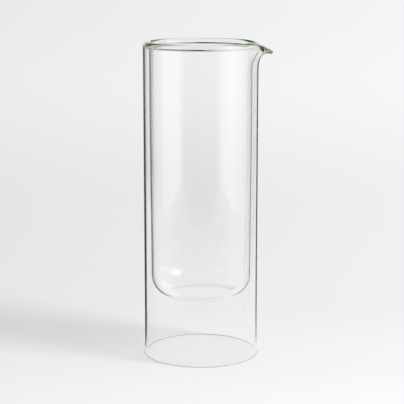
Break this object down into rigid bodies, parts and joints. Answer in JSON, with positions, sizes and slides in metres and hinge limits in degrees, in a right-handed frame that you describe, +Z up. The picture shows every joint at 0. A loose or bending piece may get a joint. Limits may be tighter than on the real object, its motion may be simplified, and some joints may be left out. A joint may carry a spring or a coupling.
{
  "type": "double-wall glass carafe",
  "caption": "Tall straight double-walled glass carafe with an open foot, a round-bottomed inner vessel and a drawn pouring lip.",
  "frame": {"origin": "centre of the foot, on the plane that it stands on", "axes": "+Z up along the body's axis, +X from the axis towards the pouring lip"},
  "size_m": [0.1126, 0.1012, 0.275],
  "materials": {
    "vessel_glass": "clear, fire-polished, drawn tube",
    "sleeve_glass": "clear, fire-polished, drawn tube",
    "rim_glass": "clear, fire-polished, faint green in its thickness"
  },
  "bodies": {
    "root": {"inner_vessel": "vessel_glass", "outer_sleeve": "sleeve_glass", "pour_rim": "rim_glass"}
  },
  "joints": []
}
